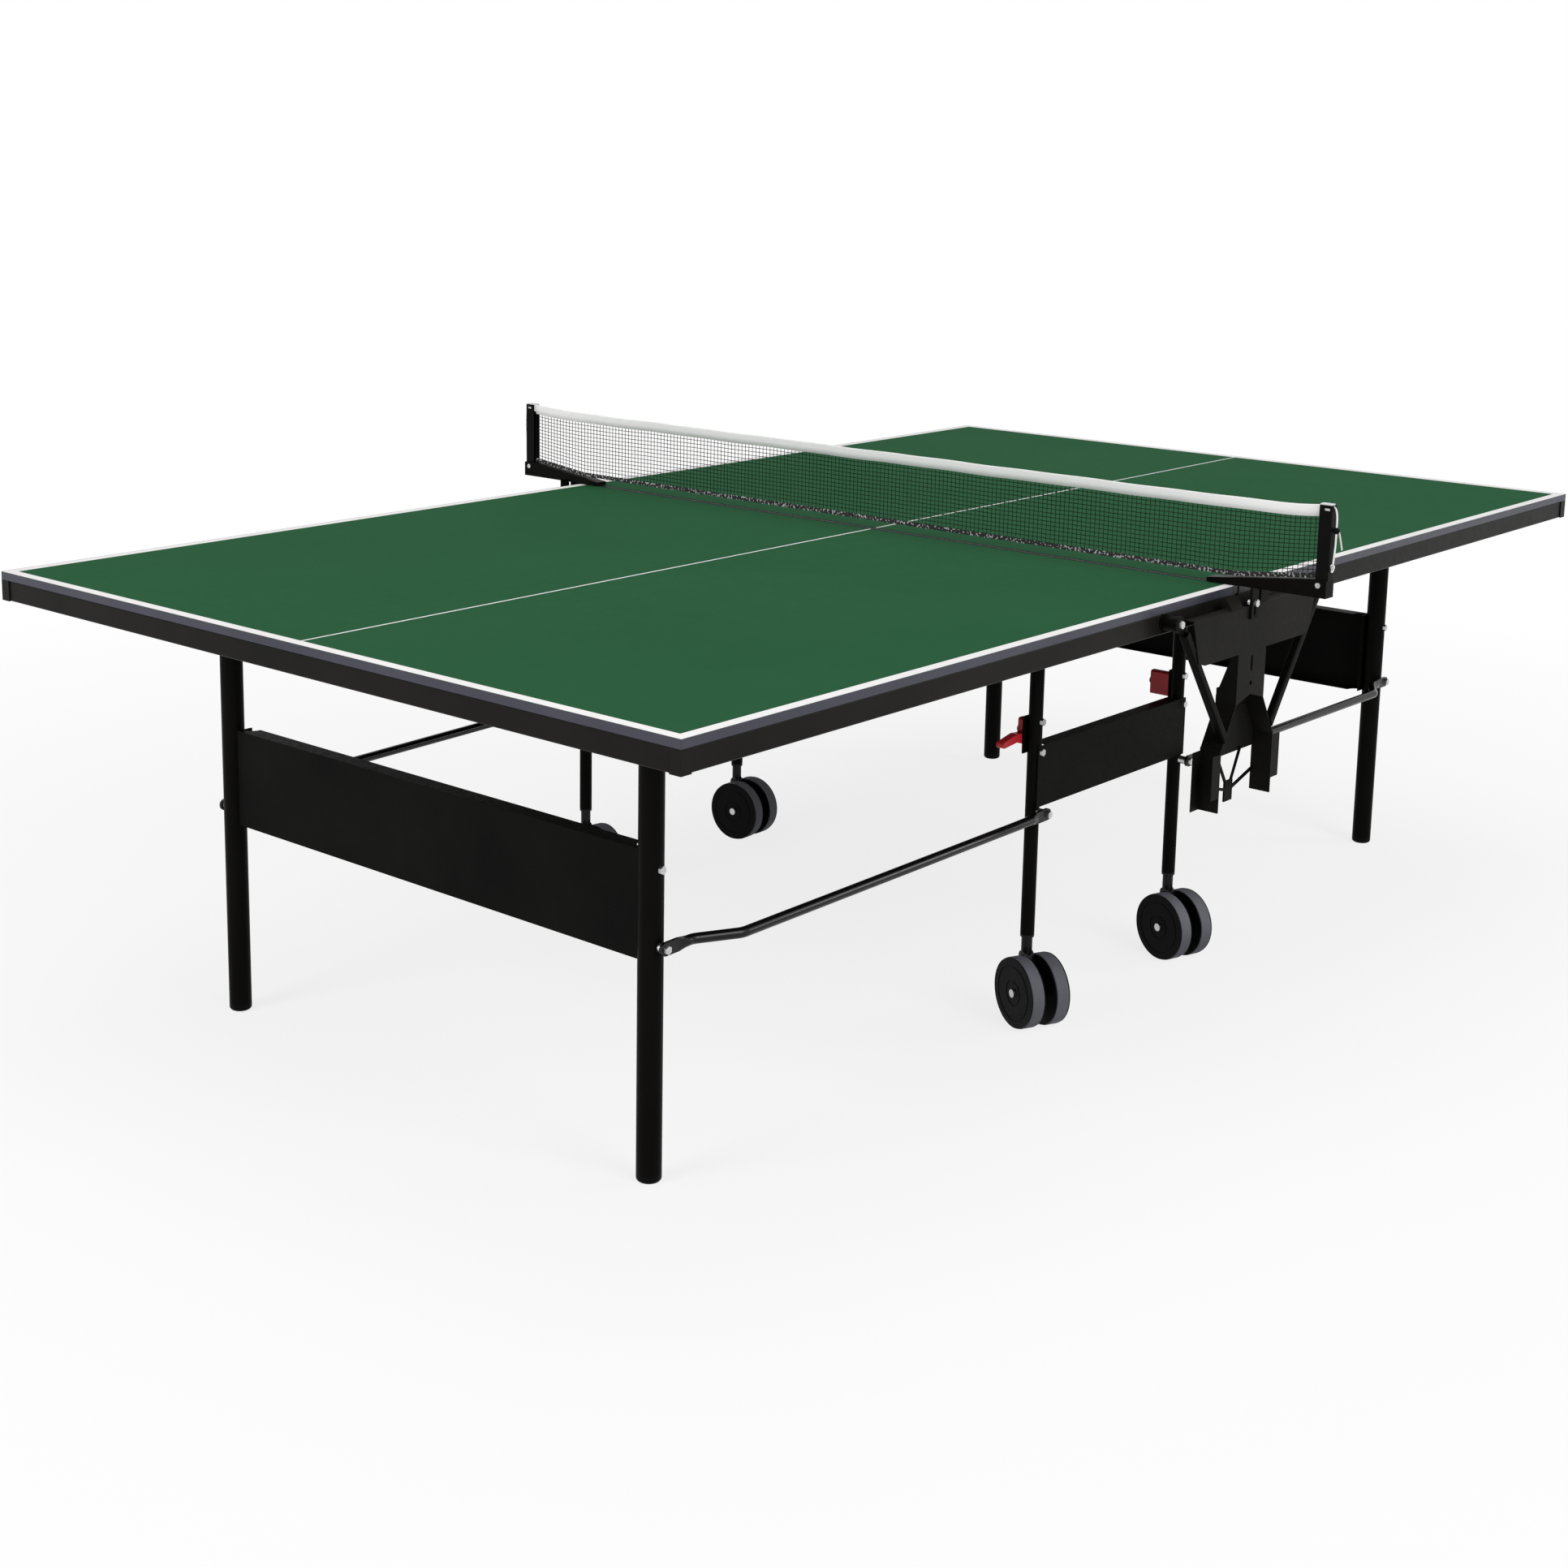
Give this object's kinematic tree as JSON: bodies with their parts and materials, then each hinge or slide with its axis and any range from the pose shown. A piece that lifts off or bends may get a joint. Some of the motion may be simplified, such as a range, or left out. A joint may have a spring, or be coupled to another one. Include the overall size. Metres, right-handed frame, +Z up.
{
  "type": "ping pong table",
  "caption": "Folding, rolling table tennis table: green half tops on a wheeled steel trolley, end leg frames on link rods, latch levers, and a clamped net",
  "frame": {"origin": "on the floor, under the middle of the net", "axes": "+X along the table's length towards the right half, +Y across the table to the far side, +Z up"},
  "size_m": [2.74, 1.8706, 0.9145],
  "materials": {
    "board": "painted, satin",
    "edge_trim": "satin",
    "frame_steel": "satin powder coat",
    "panel_steel": "fine-textured powder coat",
    "black_plastic": "satin",
    "bush_plastic": "satin",
    "zinc": "zinc plated",
    "red_plastic": "gloss",
    "white_plastic": "satin",
    "grey_rubber": "matte",
    "net_fabric": "matte woven",
    "tape_fabric": "matte woven",
    "cord_fabric": "matte braided"
  },
  "bodies": {
    "trolley": {"axle_tubes": "frame_steel", "wheel_legs": "frame_steel", "castor_sockets": "black_plastic", "side_panels": "panel_steel", "truss_plates": "panel_steel", "truss_struts": "frame_steel", "center_yokes": "frame_steel", "yoke_ties": "frame_steel", "net_arms": "frame_steel", "net_posts": "frame_steel", "post_fittings": "white_plastic", "net": "net_fabric", "net_tape": "tape_fabric", "net_cord_near": "cord_fabric", "net_cord_far": "cord_fabric", "net_cord_tail": "cord_fabric", "latch_brackets": "frame_steel", "trolley_bolts": "zinc"},
    "left_half": {"board_left": "board", "edge_trim_left": "edge_trim", "apron_rails_left": "frame_steel", "cross_rail_left": "frame_steel", "hinge_bushes_left": "bush_plastic"},
    "left_leg_frame": {"end_legs_left": "frame_steel", "foot_caps_left": "black_plastic", "end_panel_left": "panel_steel", "leg_bolts_left": "zinc"},
    "right_half": {"board_right": "board", "edge_trim_right": "edge_trim", "apron_rails_right": "frame_steel", "cross_rail_right": "frame_steel", "hinge_bushes_right": "bush_plastic"},
    "right_leg_frame": {"end_legs_right": "frame_steel", "foot_caps_right": "black_plastic", "end_panel_right": "panel_steel", "leg_bolts_right": "zinc"},
    "link_rod_left_near": {"link_rod_left_near": "frame_steel"},
    "link_rod_left_far": {"link_rod_left_far": "frame_steel"},
    "link_rod_right_near": {"link_rod_right_near": "frame_steel"},
    "link_rod_right_far": {"link_rod_right_far": "frame_steel"},
    "latch_left_near": {"latch_lever_left_near": "red_plastic"},
    "latch_left_far": {"latch_lever_left_far": "red_plastic"},
    "latch_right_near": {"latch_lever_right_near": "red_plastic"},
    "latch_right_far": {"latch_lever_right_far": "red_plastic"},
    "castor_left_near": {"castor_fork_left_near": "black_plastic", "castor_axle_left_near": "zinc"},
    "wheels_left_near": {"castor_wheels_left_near": "black_plastic", "castor_tyres_left_near": "grey_rubber"},
    "castor_left_far": {"castor_fork_left_far": "black_plastic", "castor_axle_left_far": "zinc"},
    "wheels_left_far": {"castor_wheels_left_far": "black_plastic", "castor_tyres_left_far": "grey_rubber"},
    "castor_right_near": {"castor_fork_right_near": "black_plastic", "castor_axle_right_near": "zinc"},
    "wheels_right_near": {"castor_wheels_right_near": "black_plastic", "castor_tyres_right_near": "grey_rubber"},
    "castor_right_far": {"castor_fork_right_far": "black_plastic", "castor_axle_right_far": "zinc"},
    "wheels_right_far": {"castor_wheels_right_far": "black_plastic", "castor_tyres_right_far": "grey_rubber"}
  },
  "joints": [
    {"name": "left_fold", "type": "hinge", "parent": "trolley", "child": "left_half", "pos_m": [-0.23, 0, 0.732], "axis": [0, 1, 0], "range_deg": [0, 85]},
    {"name": "left_leg_pivot", "type": "hinge", "parent": "left_half", "child": "left_leg_frame", "pos_m": [-1.119, 0, 0.718], "axis": [0, 1, 0], "range_deg": [-85, 0]},
    {"name": "rod_left_near", "type": "hinge", "parent": "trolley", "child": "link_rod_left_near", "pos_m": [-0.23, -0.556, 0.372], "axis": [0, 1, 0], "range_deg": [0, 85]},
    {"name": "rod_left_far", "type": "hinge", "parent": "trolley", "child": "link_rod_left_far", "pos_m": [-0.23, 0.556, 0.372], "axis": [0, 1, 0], "range_deg": [0, 85]},
    {"name": "right_fold", "type": "hinge", "parent": "trolley", "child": "right_half", "pos_m": [0.23, 0, 0.732], "axis": [0, -1, 0], "range_deg": [0, 85]},
    {"name": "right_leg_pivot", "type": "hinge", "parent": "right_half", "child": "right_leg_frame", "pos_m": [1.119, 0, 0.718], "axis": [0, -1, 0], "range_deg": [-85, 0]},
    {"name": "rod_right_near", "type": "hinge", "parent": "trolley", "child": "link_rod_right_near", "pos_m": [0.23, -0.556, 0.372], "axis": [0, -1, 0], "range_deg": [0, 85]},
    {"name": "rod_right_far", "type": "hinge", "parent": "trolley", "child": "link_rod_right_far", "pos_m": [0.23, 0.556, 0.372], "axis": [0, -1, 0], "range_deg": [0, 85]},
    {"name": "latch_left_near", "type": "hinge", "parent": "trolley", "child": "latch_left_near", "pos_m": [-0.23, -0.49, 0.51], "axis": [0, 1, 0], "range_deg": [0, 30]},
    {"name": "latch_left_far", "type": "hinge", "parent": "trolley", "child": "latch_left_far", "pos_m": [-0.23, 0.49, 0.51], "axis": [0, 1, 0], "range_deg": [0, 30]},
    {"name": "latch_right_near", "type": "hinge", "parent": "trolley", "child": "latch_right_near", "pos_m": [0.23, -0.49, 0.51], "axis": [0, -1, 0], "range_deg": [0, 30]},
    {"name": "latch_right_far", "type": "hinge", "parent": "trolley", "child": "latch_right_far", "pos_m": [0.23, 0.49, 0.51], "axis": [0, -1, 0], "range_deg": [0, 30]},
    {"name": "swivel_left_near", "type": "hinge", "parent": "trolley", "child": "castor_left_near", "pos_m": [-0.23, -0.527, 0.13], "axis": [0, 0, 1], "continuous": true},
    {"name": "roll_left_near", "type": "hinge", "parent": "castor_left_near", "child": "wheels_left_near", "pos_m": [-0.23895, -0.5471, 0.061], "axis": [0.9135, -0.4067, 0], "continuous": true},
    {"name": "swivel_left_far", "type": "hinge", "parent": "trolley", "child": "castor_left_far", "pos_m": [-0.23, 0.527, 0.13], "axis": [0, 0, 1], "continuous": true},
    {"name": "roll_left_far", "type": "hinge", "parent": "castor_left_far", "child": "wheels_left_far", "pos_m": [-0.23382, 0.50533, 0.061], "axis": [0.9848, -0.1736, 0], "continuous": true},
    {"name": "swivel_right_near", "type": "hinge", "parent": "trolley", "child": "castor_right_near", "pos_m": [0.23, -0.527, 0.13], "axis": [0, 0, 1], "continuous": true},
    {"name": "roll_right_near", "type": "hinge", "parent": "castor_right_near", "child": "wheels_right_near", "pos_m": [0.22357, -0.54804, 0.061], "axis": [0.9563, -0.2924, 0], "continuous": true},
    {"name": "swivel_right_far", "type": "hinge", "parent": "trolley", "child": "castor_right_far", "pos_m": [0.23, 0.527, 0.13], "axis": [0, 0, 1], "continuous": true},
    {"name": "roll_right_far", "type": "hinge", "parent": "castor_right_far", "child": "wheels_right_far", "pos_m": [0.23077, 0.50501, 0.061], "axis": [0.9994, 0.0349, 0], "continuous": true}
  ],
  "couplings": [
    {"joint": "left_leg_pivot", "follows": "left_fold", "ratio": -1},
    {"joint": "rod_left_near", "follows": "left_fold", "ratio": 1},
    {"joint": "rod_left_far", "follows": "left_fold", "ratio": 1},
    {"joint": "right_leg_pivot", "follows": "right_fold", "ratio": -1},
    {"joint": "rod_right_near", "follows": "right_fold", "ratio": 1},
    {"joint": "rod_right_far", "follows": "right_fold", "ratio": 1}
  ]
}
